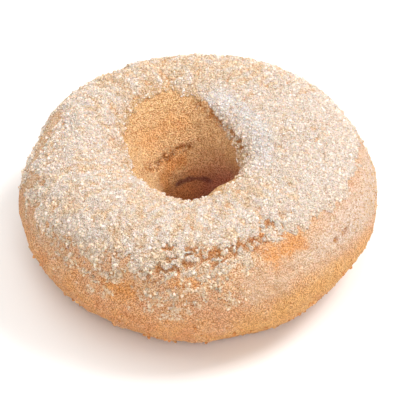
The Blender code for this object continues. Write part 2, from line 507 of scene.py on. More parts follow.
@dataclass(frozen=True)
class SurfaceRule:
    """Says for each place on the doughnut how the sugar lies there and how the crust shows."""

    # The ring's section, and the edge of the caked sugar, which lies higher towards the front
    ring_mm: tuple[float, float] = (27.0, 15.0)
    mm_per_deg: float = 0.28
    edge_deg: float = 64.0
    front: Span = (0.0, 0.8)
    front_rise_deg: float = 12.0
    front_right: Span = (0.55, 0.95)
    front_right_rise_deg: float = 14.0
    edge_mm: Span = (-3.0, 3.0)
    edge_sway: Sway = (10.0, 12.0, 12.0)
    above_foot_mm: Span = (5.0, 9.0)

    # The funnel's oval, where its look and its bare crust end, and the ridge that cuts it short
    funnel_centre_mm: tuple[float, float] = (-3.5, 3.5)
    funnel_half_length_mm: float = 19.0
    funnel_half_width_mm: float = 13.0
    funnel_turn_deg: float = 110.0
    funnel_sway: Sway = (0.0, 0.35, 0.2)
    funnel_look: Span = (0.92, 1.22)
    funnel_bare: Span = (0.90, 1.04)
    past_ridge_mm: Span = (-0.6, 0.5)
    past_ridge_sway: Sway = (0.0, 2.0, 1.5)
    ridge_height_mm: Span = (20.0, 24.0)

    # Loose clods of sugar below the edge at the front
    clod_mm: float = 1.25
    clod_span: Span = (0.26, 0.46)
    clod_sway: Sway = (0.0, 1.1, 0.9)
    clods_per_mm: float = 0.03
    clods_reach_mm: Span = (-12.0, -3.0)
    clods_reach_sway: Sway = (14.0, 0.0, 0.0)
    clods_front: Span = (0.3, 0.65)
    clod_share: float = 0.95

    # The band along the front, with its orange crust, powder and white clumps
    band_from_mm: Span = (-13.0, -7.0)
    band_to_mm: Span = (-1.0, 3.0)
    band_sway: Sway = (8.0, 4.0, 0.0)
    band_front: Span = (0.5, 0.8)
    band_front_right: Span = (0.85, 0.95)
    band_orange: Span = (-0.06, 0.16)
    band_orange_sway: Sway = (1.0, 1.0, 0.6)
    band_orange_share: float = 0.85
    band_powder: float = 0.5
    band_clumps: Span = (-0.05, 0.14)
    band_clumps_sway: Sway = (0.6, 1.0, 1.0)

    # Streaks and pebbles of the caked sugar, and how far plain powder evens them out
    streak_stretch: float = 1.7
    streak_mm: float = 1.7
    streak_span: Span = (-0.12, 0.14)
    streak_share: float = 0.40
    pebble_mm: float = 0.95
    pebble_share: float = 0.45
    long_pebble_mm: float = 1.75
    long_pebble_share: float = 0.25
    lumpy_share: float = 0.5
    lump_base: float = -0.05
    evened_share: float = 0.30
    evened_height: float = 0.80

    # White patches of powder, more of them on the right and the left and fewer at the back
    patch_mm: float = 1.8
    patch_span: Span = (-0.14, 0.10)
    patch_share: float = 0.82
    whiter_broad: float = 0.4
    right_mm: Span = (5.0, 40.0)
    whiter_right: float = 0.24
    left_mm: Span = (-10.0, -40.0)
    whiter_left: float = 0.10
    back_mm: Span = (10.0, 40.0)
    whiter_back: float = -0.10
    powder_edge_mm: Span = (-3.0, 6.0)
    powder_at_edge: float = 0.35

    # The thin veil of sugar on the crust, and the part of it that is left on golden crust
    veil_least: float = 0.05
    veil_height_mm: Span = (10.0, 26.0)
    veil_broad_mm: float = 14.0
    veil_share: float = 0.55
    veil_sway: Sway = (0.0, 0.9, 0.5)
    golden_veil: float = 0.2
    film_veil: float = 0.90
    golden_film_veil: float = 0.30
    film_veil_sway: Sway = (0.6, 0.6, 0.3)
    orange_unveiled: float = 0.85
    clump_veil: float = 0.8

    # Worn spots, pits, dark crumb and bare crust with painted shade where they sink, low flakes and the broad
    # relief
    worn_sway: Sway = (0.0, 2.4, 2.2)
    worn_bare: float = 0.9
    pit_sway: Sway = (0.0, 0.0, 0.5)
    line_break_mm: float = 1.5
    line_break: Span = (-0.10, 0.06)
    crumb_mm: float = 1.3
    crumb_gap: Span = (0.20, 0.42)
    flakes_from_mm: Span = (1.5, 3.0)
    flakes_to_mm: Span = (12.0, 17.0)
    relief_sway: Sway = (0.0, 1.1, 0.8)
    dark_relief_mm: float = -0.55

    # Places traced from the photograph
    worn: tuple[Spot, ...] = (
        Spot((22.5, -29.3, 27.4), 2.3),
        Spot((17.4, -33.4, 26.9), 2.8),
        Spot((20.2, -31.5, 27.0), 2.3),
        Spot((14.5, -29.4, 30.0), 1.1),
        Spot((-19.1, -36.2, 20.8), 2.6),
        Spot((-15.6, -38.0, 20.2), 2.2),
        Spot((-5.0, -39.3, 25.4), 1.5),
        Spot((-1.7, -40.3, 24.9), 1.7),
        Spot((-27.0, -31.4, 21.0), 2.0, strength=0.6),
    )
    pits: tuple[Spot, ...] = (
        Spot((31.9, -24.8, 23.9), 0.65),
        Spot((33.7, -22.4, 23.9), 0.55),
        Spot((34.4, -21.3, 24.1), 0.45),
    )
    golden: Strip = Strip(
        ((38.5, -19.0, 12.0), (29.0, -31.0, 15.5), (20.0, -37.0, 13.5), (12.0, -39.0, 8.0)),
        reach_mm=8.0, sway=(12.0, 6.0, 2.0),
    )
    powdered: Strip = Strip(
        ((4.5, 18.2, 30.3), (11.0, 12.2, 30.8), (14.8, 4.0, 30.9), (14.6, -4.5, 30.5)),
        reach_mm=6.5, sway=(0.0, 6.0, 0.0),
    )
    filmed: tuple[Strip, ...] = (
        Strip(
            (
                (41.0, 4.0, 21.0), (39.0, -12.5, 23.0), (33.0, -22.5, 24.5),
                (26.0, -29.5, 25.0), (19.0, -33.5, 25.0),
            ),
            reach_mm=7.0, sway=FILM_SWAY,
        ),
        Strip(((12.0, -38.5, 22.5), (19.0, -36.0, 21.5)), reach_mm=4.5, sway=FILM_SWAY),
        Strip(((-33.5, 14.5, 27.0), (-37.5, 6.3, 26.0), (-39.6, -6.4, 25.0)), reach_mm=3.0, sway=FILM_SWAY),
    )
    crack: Strip = Strip(
        (
            (-8.4, -32.6, 30.0), (-5.0, -33.7, 29.7), (1.7, -34.1, 29.8),
            (4.6, -34.7, 29.4), (10.2, -32.5, 29.9),
        ),
        reach_mm=0.95, sway=LINE_SWAY,
    )
    ridge: Strip = Strip(
        ((0.5, 17.6, 28.6), (3.0, 14.9, 28.2), (5.8, 11.3, 27.3), (9.1, 6.1, 27.6), (11.6, -0.6, 27.3)),
        reach_mm=0.95, sway=LINE_SWAY,
    )
    ledge: Strip = Strip(
        ((-2.4, 12.0, 19.8), (-4.8, 11.4, 19.6), (-7.2, 9.8, 18.5), (-8.7, 7.9, 17.6), (-12.2, 3.5, 20.6)),
        reach_mm=1.2, sway=LINE_SWAY,
    )
    crumbled: Strip = Strip(
        (
            (-10.0, -38.0, 26.0), (-3.0, -36.0, 28.2), (7.0, -34.5, 29.0),
            (13.0, -30.5, 30.0), (17.5, -26.5, 30.3),
        ),
        reach_mm=2.6, sway=(0.0, 5.0, 3.0),
    )
    under_ledge: Strip = Strip(
        ((-4.4, 10.6, 17.0), (-6.8, 9.1, 16.0), (-8.7, 6.0, 14.5), (-7.8, 6.8, 11.0)),
        reach_mm=2.4, sway=(0.0, 3.0, 3.0), strength=0.8,
    )
    browned: Strip = Strip(
        ((-12.0, 10.0, 23.0), (-8.0, 14.5, 25.0), (-3.6, 15.2, 24.8)),
        reach_mm=2.4, sway=(0.0, 5.0, 5.0), strength=0.4,
    )
    # The crease low on the far wall of the hole, where a dark line is painted as its shadow
    crease_shadow: Strip = Strip(
        ((-5.0, 9.0, 10.2), (-1.9, 10.1, 10.7), (0.1, 10.3, 11.1), (2.5, 9.9, 10.5)),
        reach_mm=0.9, sway=(0.0, 1.5, 1.5),
    )
    rubbed: Strip = Strip(
        ((-33.6, 0.5, 30.0), (-32.3, 6.3, 29.6), (-30.2, 9.4, 30.0)),
        reach_mm=0.9, sway=(0.0, 0.0, 3.0), strength=0.4,
    )

    def past_ridge(self, at: Survey) -> Socket:
        """1 on the side of the ridge that faces away from the hole, where the funnel stops short."""
        start, middle, end = (Vector(self.ridge.corners_mm[index]).xy for index in (0, 2, 4))
        outwards = Vector((start.y - end.y, end.x - start.x)).normalized()
        wander = at.wander(self.past_ridge_sway)
        across = at.plus(at.times(at.x, outwards.x), at.times(at.y, outwards.y), wander)
        past = at.ramp(at.less(across, outwards.dot(middle)), *self.past_ridge_mm)
        return at.times(past, at.ramp(at.z, *self.ridge_height_mm))

    def out_of_funnel(self, at: Survey) -> Socket:
        """The distance out from the middle of the funnel's oval, which is 1 on the oval itself."""
        turn = math.radians(self.funnel_turn_deg)
        from_x = at.less(at.x, self.funnel_centre_mm[0])
        from_y = at.less(at.y, self.funnel_centre_mm[1])
        along = at.plus(at.times(from_x, math.cos(turn)), at.times(from_y, math.sin(turn)))
        across = at.less(at.times(from_x, math.sin(turn)), at.times(from_y, math.cos(turn)))
        long_part = at.math("POWER", at.math("DIVIDE", along, self.funnel_half_length_mm), 2.0)
        wide_part = at.math("POWER", at.math("DIVIDE", across, self.funnel_half_width_mm), 2.0)
        return at.plus(at.math("SQRT", at.plus(long_part, wide_part)), at.wander(self.funnel_sway))

    def inside_edge(self, at: Survey) -> Socket:
        """How far a place lies inside the edge of the caked sugar, in millimetres down the slope."""
        rise = at.plus(
            at.times(at.ramp(at.front, *self.front), self.front_rise_deg),
            at.times(at.ramp(at.front_right, *self.front_right), self.front_right_rise_deg),
        )
        return at.times(at.less(at.less(self.edge_deg, rise), at.over_deg), self.mm_per_deg)

    def caked(self, at: Survey, inside_mm: Socket, bare: Socket) -> Socket:
        """Adds the share of caked sugar, with loose clods below its edge at the front.

        Args:
            at: The tree and what it measures.
            inside_mm: How far the place lies inside the edge.
            bare: Where nothing is caked on.

        Returns:
            The share of caked sugar.
        """
        body = at.ramp(at.plus(inside_mm, at.wander(self.edge_sway)), *self.edge_mm)
        height = at.plus(
            at.pebbles(at.place, self.clod_mm),
            at.wander(self.clod_sway),
            at.times(inside_mm, self.clods_per_mm),
        )
        clods = at.times(
            at.ramp(height, *self.clod_span),
            at.ramp(at.plus(inside_mm, at.wander(self.clods_reach_sway)), *self.clods_reach_mm),
            at.ramp(at.front, *self.clods_front),
            self.clod_share,
        )
        return at.times(at.most(body, clods), at.rest(bare))

    def front_band(self, at: Survey, inside_mm: Socket) -> Socket:
        """The share of the band along the front where white clumps lie on dark orange crust."""
        edge = at.plus(inside_mm, at.wander(self.band_sway))
        return at.times(
            at.ramp(edge, *self.band_from_mm),
            at.rest(at.ramp(edge, *self.band_to_mm)),
            at.ramp(at.front, *self.band_front),
            at.rest(at.ramp(at.front_right, *self.band_front_right)),
        )

    def orange_crust(self, at: Survey, band: Socket, rubbed: Socket) -> Socket:
        """Adds the share of orange crust.

        Args:
            at: The tree and what it measures.
            band: The share of the band along the front.
            rubbed: Where the sugar is rubbed off.

        Returns:
            The share of orange crust.
        """
        patches = at.ramp(at.wander(self.band_orange_sway), *self.band_orange)
        in_band = at.times(band, patches, self.band_orange_share)
        return at.most(rubbed, in_band, at.near(self.under_ledge), at.near(self.browned))

    def dark_lines(self, at: Survey) -> Socket:
        """The share of dark brown along the crack, the ridge and the ledge, in the crumbled gaps and in the
        pits: crumb and bare crust, partly painted shade.
        """
        broken = at.ramp(at.noise(at.place, self.line_break_mm, detail=1.0, seed=8.0), *self.line_break)
        lines = [at.times(at.near(line), broken) for line in (self.crack, self.ridge, self.ledge)]
        gaps = at.rest(at.ramp(at.pebbles(at.place, self.crumb_mm), *self.crumb_gap))
        crumbled = at.times(at.near(self.crumbled), gaps)
        return at.most(*lines, crumbled, *(at.inside(pit, self.pit_sway) for pit in self.pits))

    def powder(self, at: Survey, inside_mm: Socket, band: Socket) -> Socket:
        """Adds the share of white powder: in patches, along a strip by the hole, and in the band.

        Args:
            at: The tree and what it measures.
            inside_mm: How far the place lies inside the edge of the caked sugar.
            band: The share of the band along the front.

        Returns:
            The share of white powder.
        """
        whiter = at.plus(
            at.times(at.broad, self.whiter_broad),
            at.times(at.ramp(at.x, *self.right_mm), self.whiter_right),
            at.times(at.ramp(at.x, *self.left_mm), self.whiter_left),
            at.times(at.ramp(at.y, *self.back_mm), self.whiter_back),
        )
        patches = at.noise(at.streaked, self.patch_mm, detail=1.0, seed=7.0)
        patches = at.times(at.ramp(at.plus(patches, whiter), *self.patch_span), self.patch_share)
        powder = at.most(patches, at.near(self.powdered), at.times(band, self.band_powder))
        within = at.ramp(inside_mm, *self.powder_edge_mm)
        return at.times(powder, at.between(within, self.powder_at_edge, 1.0))

    def lumps(self, at: Survey, powder: Socket) -> Socket:
        """How high the caked sugar stands: streaks and pebbles, which plain powder evens out."""
        streaks = at.noise(at.streaked, self.streak_mm, detail=3.0, seed=11.0)
        lump = at.plus(
            at.times(at.ramp(streaks, *self.streak_span), self.streak_share),
            at.times(at.pebbles(at.place, self.pebble_mm), self.pebble_share),
            at.times(at.pebbles(at.streaked, self.long_pebble_mm), self.long_pebble_share),
            at.times(at.lumpy, self.lumpy_share),
            self.lump_base,
        )
        return at.kept(at.between(at.times(powder, self.evened_share), lump, self.evened_height))

    def veil(self, at: Survey, golden: Socket, film: Socket, unveiled: list[Socket]) -> Socket:
        """Adds the share of the thin veil of sugar on the crust, which is thicker higher up.

        Args:
            at: The tree and what it measures.
            golden: The share of the golden strip, where there is little of it.
            film: The share of the films of sugar, where there is most of it.
            unveiled: Shares of the places that have none.

        Returns:
            The share of the veil.
        """
        higher = at.ramp(at.plus(at.z, at.times(at.broad, self.veil_broad_mm)), *self.veil_height_mm)
        veil = at.plus(self.veil_least, at.times(higher, self.veil_share), at.wander(self.veil_sway))
        veil = at.times(at.kept(veil), at.between(golden, 1.0, self.golden_veil))
        on_film = at.between(golden, self.film_veil, self.golden_film_veil)
        on_film = at.plus(on_film, at.wander(self.film_veil_sway))
        veil = at.most(veil, at.kept(at.times(film, on_film)))
        return at.times(veil, *(at.rest(share) for share in unveiled))

    def group(self) -> bpy.types.NodeTree:
        """Makes the rule as a Geometry Nodes group.

        Returns:
            The group, with an output for each mark that the rule gives and the broad relief in mm.
        """
        tree = bpy.data.node_groups.new("surface_rule", "GeometryNodeTree")
        at = Survey(tree, self.ring_mm, self.streak_stretch)
        inside_mm = self.inside_edge(at)
        out = self.out_of_funnel(at)
        short = at.rest(self.past_ridge(at))
        funnel = at.times(at.rest(at.ramp(out, *self.funnel_look)), short)
        bare_funnel = at.times(at.rest(at.ramp(out, *self.funnel_bare)), short)
        rubbed = at.most(*(at.inside(spot, self.worn_sway) for spot in self.worn), at.near(self.rubbed))
        dark = self.dark_lines(at)
        golden = at.near(self.golden)
        film = at.most(*(at.near(strip) for strip in self.filmed))
        band = self.front_band(at, inside_mm)
        clumped = at.times(band, at.ramp(at.wander(self.band_clumps_sway), *self.band_clumps))
        orange = self.orange_crust(at, band, rubbed)
        bare = at.most(bare_funnel, at.times(rubbed, self.worn_bare), dark, film)
        caked = self.caked(at, inside_mm, bare)
        powder = self.powder(at, inside_mm, band)
        veil = self.veil(at, golden, film, [funnel, at.times(orange, self.orange_unveiled)])
        low = at.times(at.ramp(at.z, *self.flakes_from_mm), at.rest(at.ramp(at.z, *self.flakes_to_mm)))
        says = {
            Mark.SUGAR.value: at.times(caked, at.ramp(at.z, *self.above_foot_mm)),
            Mark.VEIL.value: at.most(veil, at.times(clumped, self.clump_veil)),
            Mark.FILM.value: film,
            Mark.POWDER.value: powder,
            Mark.LUMP.value: self.lumps(at, powder),
            Mark.FUNNEL.value: funnel,
            Mark.GOLDEN.value: golden,
            Mark.DARK.value: dark,
            Mark.CLUMPED.value: clumped,
            Mark.FLAKY.value: at.times(low, at.rest(funnel)),
            Mark.ORANGE.value: orange,
            Mark.CREASE.value: at.near(self.crease_shadow),
            RELIEF: at.plus(at.wander(self.relief_sway), at.times(dark, self.dark_relief_mm)),
        }
        for label in says:
            tree.interface.new_socket(label, in_out="OUTPUT", socket_type="NodeSocketFloat")
        at.add("NodeGroupOutput", says)
        return tree


def fine_mottling() -> bpy.types.NodeTree:
    """The shader group for fine mottling, which the crust, the sugar and the crumbs share.

    Returns:
        A group that mixes two colours by fine noise, the dark one where the noise is low as painted shade in
        the hollows of the bump, and gives that noise as a height too.
    """
    tree = bpy.data.node_groups.new("fine_mottling", "ShaderNodeTree")
    for label, side, kind in (
        ("Light", "INPUT", "NodeSocketColor"),
        ("Dark", "INPUT", "NodeSocketColor"),
        ("Coarseness", "INPUT", "NodeSocketFloat"),
        ("Amount", "INPUT", "NodeSocketFloat"),
        ("Colour", "OUTPUT", "NodeSocketColor"),
        ("Height", "OUTPUT", "NodeSocketFloat"),
    ):
        tree.interface.new_socket(label, in_out=side, socket_type=kind)
    build = Builder(tree)
    given = build.add("NodeGroupInput").outputs
    object_place = build.add("ShaderNodeTexCoord").outputs["Object"]
    place = build.scaled(object_place, build.math("DIVIDE", 1.0, given["Coarseness"]))
    coarse = build.times(build.noise(place, COARSE_FLECK, seed=4.0), COARSE_SHARE)
    fine = build.times(build.noise(place, 1.0, detail=1.0, seed=9.0), FINE_SHARE)
    height = build.plus(coarse, fine)
    # Low spots of the height take the dark colour: painted shade in the fine hollows
    share = build.math("MULTIPLY_ADD", build.times(height, given["Amount"]), -1.0, 0.5, clamp=True)
    colour = build.mix_colours(share, given["Light"], given["Dark"])
    build.add("NodeGroupOutput", {"Colour": colour, "Height": height})
    return tree


def specks() -> bpy.types.NodeTree:
    """The shader group for fine specks, such as sugar on crust or brown crumbs in the hole.

    Returns:
        A group whose mask is 1 on the specks, which cover about the given share of the surface.
    """
    tree = bpy.data.node_groups.new("specks", "ShaderNodeTree")
    for label in ("Share", "Size", "Pattern"):
        tree.interface.new_socket(label, in_out="INPUT", socket_type="NodeSocketFloat")
    tree.interface.new_socket("Mask", in_out="OUTPUT", socket_type="NodeSocketFloat")
    build = Builder(tree)
    given = build.add("NodeGroupInput").outputs
    object_place = build.add("ShaderNodeTexCoord").outputs["Object"]
    place = build.scaled(object_place, build.math("DIVIDE", 1.0, given["Size"]))
    noise = build.noise(place, 1.0, detail=1.0, seed=given["Pattern"])
    above = build.plus(noise, build.times(build.less(given["Share"], 0.5), SPECK_SPREAD))
    build.add("NodeGroupOutput", {"Mask": build.ramp(above, *SPECK_EDGE)})
    return tree


@dataclass(frozen=True)
class SharedEffects:
    """The shader groups that every finish draws on."""

    mottling: bpy.types.NodeTree
    specks: bpy.types.NodeTree


@dataclass(frozen=True)
class Flecks:
    """Fine flecks in shades of a colour; the dark ones are painted shade in the low spots of their relief.

    They have a size, and the shade is what the darkest keep of the colour's red, green and blue.
    The relief is how far they stand out, and the strength is how much of that shows.
    """

    size: float
    shade: Colour
    relief: float
    strength: float = 1.0


class Surface(Builder):
    """A material's tree, with its Principled BSDF in place."""

    def __init__(self, name: str, colour: Colour, roughness: float, shared: SharedEffects) -> None:
        """Makes the material.

        Args:
            name: The material's name.
            colour: Its colour where nothing finer can be shown.
            roughness: Its even roughness.
            shared: The shared shader groups.
        """
        self.material = bpy.data.materials.new(name)
        self.material.use_nodes = True
        self.material.diffuse_color = (*colour, 1.0)
        super().__init__(self.material.node_tree)
        self.shader = self.tree.nodes["Principled BSDF"]
        constants = {
            "Base Color": colour,
            "Roughness": roughness,
            "Specular IOR Level": MATT_SPECULAR,
            "Subsurface Weight": GLOW_WEIGHT,
            "Subsurface Radius": GLOW_REACH,
            "Subsurface Scale": GLOW_DEPTH,
        }
        for label, value in constants.items():
            self.feed(self.shader.inputs[label], value)
        self.shared = shared

    def read(self, mark: Mark) -> Socket:
        """A value that the mesh carries."""
        return self.add("ShaderNodeAttribute", attribute_name=mark.value).outputs["Fac"]

    def darker(self, colour: Socket, shade: Colour) -> Socket:
        """The colour, times what the shade keeps of its red, green and blue."""
        return self.vector("MULTIPLY", colour, shade).outputs[0]

    def layered(self, colour: Value, *layers: tuple[Socket, Value]) -> Value:
        """Lays colours over a colour.

        Args:
            colour: The colour below.
            layers: The share and the colour of each layer, in turn.

        Returns:
            The mixed colour.
        """
        for share, over in layers:
            colour = self.mix_colours(share, colour, over)
        return colour

    def speckled(self, share: Value, size: float, pattern: float) -> Socket:
        """Places the shared specks.

        Args:
            share: How much of the surface they cover.
            size: How large a speck is, in metres.
            pattern: Another value gives another pattern.

        Returns:
            The mask of the specks.
        """
        inputs = {"Share": share, "Size": size, "Pattern": pattern}
        return self.add("ShaderNodeGroup", inputs, node_tree=self.shared.specks).outputs["Mask"]

    def finish(self, colour: Socket, flecks: Flecks, amount: Value) -> bpy.types.Material:
        """Mottles the colour with flecks, and links it and their relief to the shader.

        Args:
            colour: The colour of the lightest flecks.
            flecks: The flecks.
            amount: How far they go from light to dark.

        Returns:
            The material.
        """
        inputs = {
            "Light": colour,
            "Dark": self.darker(colour, flecks.shade),
            "Coarseness": flecks.size,
            "Amount": amount,
        }
        mottling = self.add("ShaderNodeGroup", inputs, node_tree=self.shared.mottling).outputs
        self.feed(self.shader.inputs["Base Color"], mottling["Colour"])
        bump = {"Height": mottling["Height"], "Distance": flecks.relief, "Strength": flecks.strength}
        self.feed(self.shader.inputs["Normal"], self.add("ShaderNodeBump", bump).outputs[0])
        return self.material


@dataclass(frozen=True)
class CrustFinish:
    """Fried crust under a thin veil of sugar: golden or caramel outside, browner in the hole, where painted
    shade deepens lower down and on the right wall, and a painted shadow line runs along a crease.
    """

    golden: Colour = (0.99, 0.57, 0.23)
    caramel: Colour = (0.92, 0.46, 0.21)
    orange: Colour = (0.94, 0.46, 0.16)
    brown: Colour = (0.62, 0.24, 0.06)
    funnel: Colour = (0.95, 0.63, 0.34)
    # The hole's colours hold painted shade: browner lower down, and a darker brown on the right wall for that
    # wall's shadow
    hole: Colour = (0.99, 0.46, 0.19)
    hole_shadow_side: Colour = (0.66, 0.27, 0.19)
    # The colour of the painted shadow line along the crease in the hole
    crease_shadow: Colour = (0.24, 0.09, 0.08)
    veil: Colour = (0.98, 0.76, 0.57)
    film: Colour = (0.99, 0.94, 0.91)
    sugar: Colour = (0.97, 0.84, 0.69)
    roughness: float = 0.9
    patch: float = 5.0 * MM
    pale_patches: Span = (-0.12, 0.12)
    pale_share: float = 0.5
    # Painted shade down the hole: how patches move its edge, how much higher it reaches on the right, the
    # heights over which it grows, and where the right wall's painted shadow starts and ends
    patch_depth: float = 8.0 * MM
    right_side_shade: float = -0.6
    depth: Span = (7.0 * MM, 20.0 * MM)
    shadow_side_x: Span = (-4.0 * MM, 5.0 * MM)
    film_right: Span = (18.0 * MM, 36.0 * MM)
    veil_share: float = 0.9
    speck: float = 0.32 * MM
    speck_share: float = 0.25
    veiled_speck_share: float = 0.3
    speck_strength: float = 0.45
    golden_speck_strength: float = 0.2
    crumb_patches: Span = (-0.10, 0.60)
    crumb_strength: float = 0.45
    dark_strength: float = 0.8
    flecks: Flecks = Flecks(size=0.27 * MM, shade=(0.48, 0.32, 0.21), relief=0.35 * MM)
    fleck_amount: float = 2.8
    film_fleck_amount: float = 1.3

    def material(self, shared: SharedEffects) -> bpy.types.Material:
        """Makes the material.

        Args:
            shared: The shared shader groups.

        Returns:
            The material, which reads the crust's marks.
        """
        build = Surface("crust", self.caramel, self.roughness, shared)
        place = build.add("ShaderNodeTexCoord").outputs["Object"]
        x, _, height = build.split(place)
        funnel = build.read(Mark.FUNNEL)
        golden = build.read(Mark.GOLDEN)
        veil = build.read(Mark.VEIL)
        film = build.read(Mark.FILM)
        patches = build.noise(place, self.patch, detail=3.0, seed=1.0)
        pale = build.plus(golden, build.times(build.ramp(patches, *self.pale_patches), self.pale_share))
        # Painted shade in the hole: lower places and places further right turn from funnel tan to hole brown,
        # and the right wall turns darker still for its shadow
        lit = build.plus(height, build.times(patches, self.patch_depth), build.times(x, self.right_side_shade))
        hole_shade = build.rest(build.ramp(lit, *self.depth))
        hole = build.mix_colours(build.ramp(x, *self.shadow_side_x), self.hole, self.hole_shadow_side)
        white = build.times(film, build.ramp(x, *self.film_right))
        share = build.plus(self.speck_share, build.times(veil, self.veiled_speck_share))
        strength = build.between(golden, self.speck_strength, self.golden_speck_strength)
        strength = build.times(build.rest(funnel), strength)
        crumbs = build.speckled(build.ramp(patches, *self.crumb_patches), self.speck, pattern=8.0)
        colour = build.layered(
            self.caramel,
            (pale, self.golden),
            (funnel, build.mix_colours(hole_shade, self.funnel, hole)),
            (build.read(Mark.ORANGE), self.orange),
            (build.times(veil, self.veil_share), build.mix_colours(white, self.veil, self.film)),
            (build.times(build.speckled(share, self.speck, pattern=6.0), strength), self.sugar),
            (build.times(crumbs, funnel, self.crumb_strength), self.brown),
            # Brown along the crack, ridge and ledge, in the crumbled gaps and in the pits: crumb and bare
            # crust, darkened partly as painted shade in these sunken places
            (build.times(build.read(Mark.DARK), self.dark_strength), self.brown),
            # Painted shadow line along the crease low in the hole
            (build.times(build.read(Mark.CREASE), self.dark_strength), self.crease_shadow),
        )
        amount = build.between(film, self.fleck_amount, self.film_fleck_amount)
        return build.finish(colour, self.flecks, amount)


@dataclass(frozen=True)
class SugarFinish:
    """Caked sugar: cream, with white patches of powder, and darker tan between its lumps, where crust shows
    through and shade is painted.
    """

    cream: Colour = (0.96, 0.76, 0.56)
    white: Colour = (0.99, 0.91, 0.85)
    whitest: Colour = (0.99, 0.96, 0.95)
    gap: Colour = (0.84, 0.56, 0.36)
    funnel: Colour = (0.90, 0.59, 0.31)
    thin: Colour = (0.86, 0.52, 0.30)
    roughness: float = 0.9
    whitest_span: Span = (0.82, 1.0)
    gap_span: Span = (0.05, 0.5)
    gap_strength: float = 0.7
    thin_span: Span = (0.25, 0.75)
    thin_strength: float = 0.6
    flecks: Flecks = Flecks(size=0.28 * MM, shade=(0.50, 0.40, 0.32), relief=0.50 * MM)
    fleck_amount: float = 2.6
    powder_fleck_amount: float = 1.6

    def material(self, shared: SharedEffects) -> bpy.types.Material:
        """Makes the material.

        Args:
            shared: The shared shader groups.

        Returns:
            The material, which reads the coat's marks.
        """
        build = Surface("caked_sugar", self.cream, self.roughness, shared)
        powder = build.read(Mark.POWDER)
        # Darker tan between the lumps: crust showing through thinner sugar, and painted shade between the
        # lumps
        gap = build.rest(build.ramp(build.read(Mark.LUMP), *self.gap_span))
        thin = build.rest(build.ramp(build.read(Mark.SUGAR), *self.thin_span))
        colour = build.layered(
            self.cream,
            (powder, self.white),
            (build.ramp(powder, *self.whitest_span), self.whitest),
            (build.times(gap, self.gap_strength), self.gap),
            (build.times(thin, self.thin_strength), self.thin),
            (build.read(Mark.FUNNEL), self.funnel),
        )
        amount = build.between(powder, self.fleck_amount, self.powder_fleck_amount)
        return build.finish(colour, self.flecks, amount)


@dataclass(frozen=True)
class GrainFinish:
    """Loose grains or crumbs: whiter in the powder, and lighter or darker from one to the next."""

    name: str
    plain: Colour
    powdered: Colour
    shade: Colour
    roughness: float = 0.9
    fleck: float = 0.30 * MM
    fleck_amount: float = 1.6
    relief: float = 0.1 * MM
    relief_strength: float = 0.4

    def material(self, shared: SharedEffects) -> bpy.types.Material:
        """Makes the material.

        Args:
            shared: The shared shader groups.

        Returns:
            The material, which reads each grain's tone.
        """
        build = Surface(self.name, self.plain, self.roughness, shared)
        colour = build.mix_colours(build.read(Mark.POWDER), self.plain, self.powdered)
        toned = build.mix_colours(build.read(Mark.TONE), colour, build.darker(colour, self.shade))
        flecks = Flecks(self.fleck, self.shade, self.relief, self.relief_strength)
        return build.finish(toned, flecks, self.fleck_amount)


@dataclass
class Skin:
    """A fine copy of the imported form, marked by the surface rule: the crust or the coat of sugar."""

    name: str
    cell: float
    smoothing: int
    marks: tuple[Mark, ...]

    def sizes(self) -> dict[str, float | int]:
        """The named inputs of its tree, apart from Smoothing."""
        raise NotImplementedError

    def shaped(self, build: ShapeTree, form: Socket, relief: Socket) -> Socket:
        """Shapes the skin.

        Args:
            build: Its tree.
            form: The smoothed and marked form.
            relief: The broad relief, in millimetres.

        Returns:
            The shape.
        """
        raise NotImplementedError

    def build(self, rule: bpy.types.NodeTree, material: bpy.types.Material) -> bpy.types.Object:
        """Makes the skin.

        Args:
            rule: The surface rule's group.
            material: The skin's material.

        Returns:
            The finished piece.
        """
        build = ShapeTree(f"{self.name}_shape", {"Smoothing": self.smoothing, **self.sizes()})
        says = build.add("GeometryNodeGroup", node_tree=rule).outputs
        form = build.smoothed(build.given["Geometry"], build.given["Smoothing"])
        for mark in self.marks:
            form = build.mark(form, mark, says[mark.value])
        build.end(self.shaped(build, form, says[RELIEF]), material)
        rough = fine_form(self.cell)
        build.apply_to(rough)
        skin = settle(rough, self.name)
        skin.data.shade_smooth()
        return skin


@dataclass
class Crust(Skin):
    """The doughnut's crust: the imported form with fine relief, sunk a little where sugar lies."""

    name: str = "crust"
    cell: float = 0.50 * MM
    smoothing: int = 8
    marks: tuple[Mark, ...] = tuple(mark for mark in Mark if mark is not Mark.TONE)
    sink_mm: float = 0.25
    grain_mm: float = 0.16
    grain_size_mm: float = 1.3
    foot_mm: Span = (0.0, 2.5)

    def sizes(self) -> dict[str, float | int]:
        """The named inputs of its tree, apart from Smoothing."""
        return {"Sink mm": self.sink_mm, "Grain mm": self.grain_mm}

    def shaped(self, build: ShapeTree, form: Socket, relief: Socket) -> Socket:
        """The form with fine grain, sunk under the sugar; the relief fades out at the foot."""
        place = build.scaled(build.position, 1.0 / MM)
        _, _, z = build.split(place)
        grain = build.noise(place, self.grain_size_mm, detail=1.0, seed=5.0)
        height = build.plus(
            relief,
            build.times(grain, 2.0, build.given["Grain mm"]),
            build.times(build.read(Mark.SUGAR), build.given["Sink mm"], -1.0),
        )
        return build.raised(form, build.times(height, build.ramp(z, *self.foot_mm)))

    def build(self, rule: bpy.types.NodeTree, material: bpy.types.Material) -> bpy.types.Object:
        """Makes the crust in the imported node's place.

        Args:
            rule: The surface rule's group.
            material: The crust's material.

        Returns:
            The finished piece.
        """
        crust = super().build(rule, material)
        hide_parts(DOUGH_NODE)
        return crust


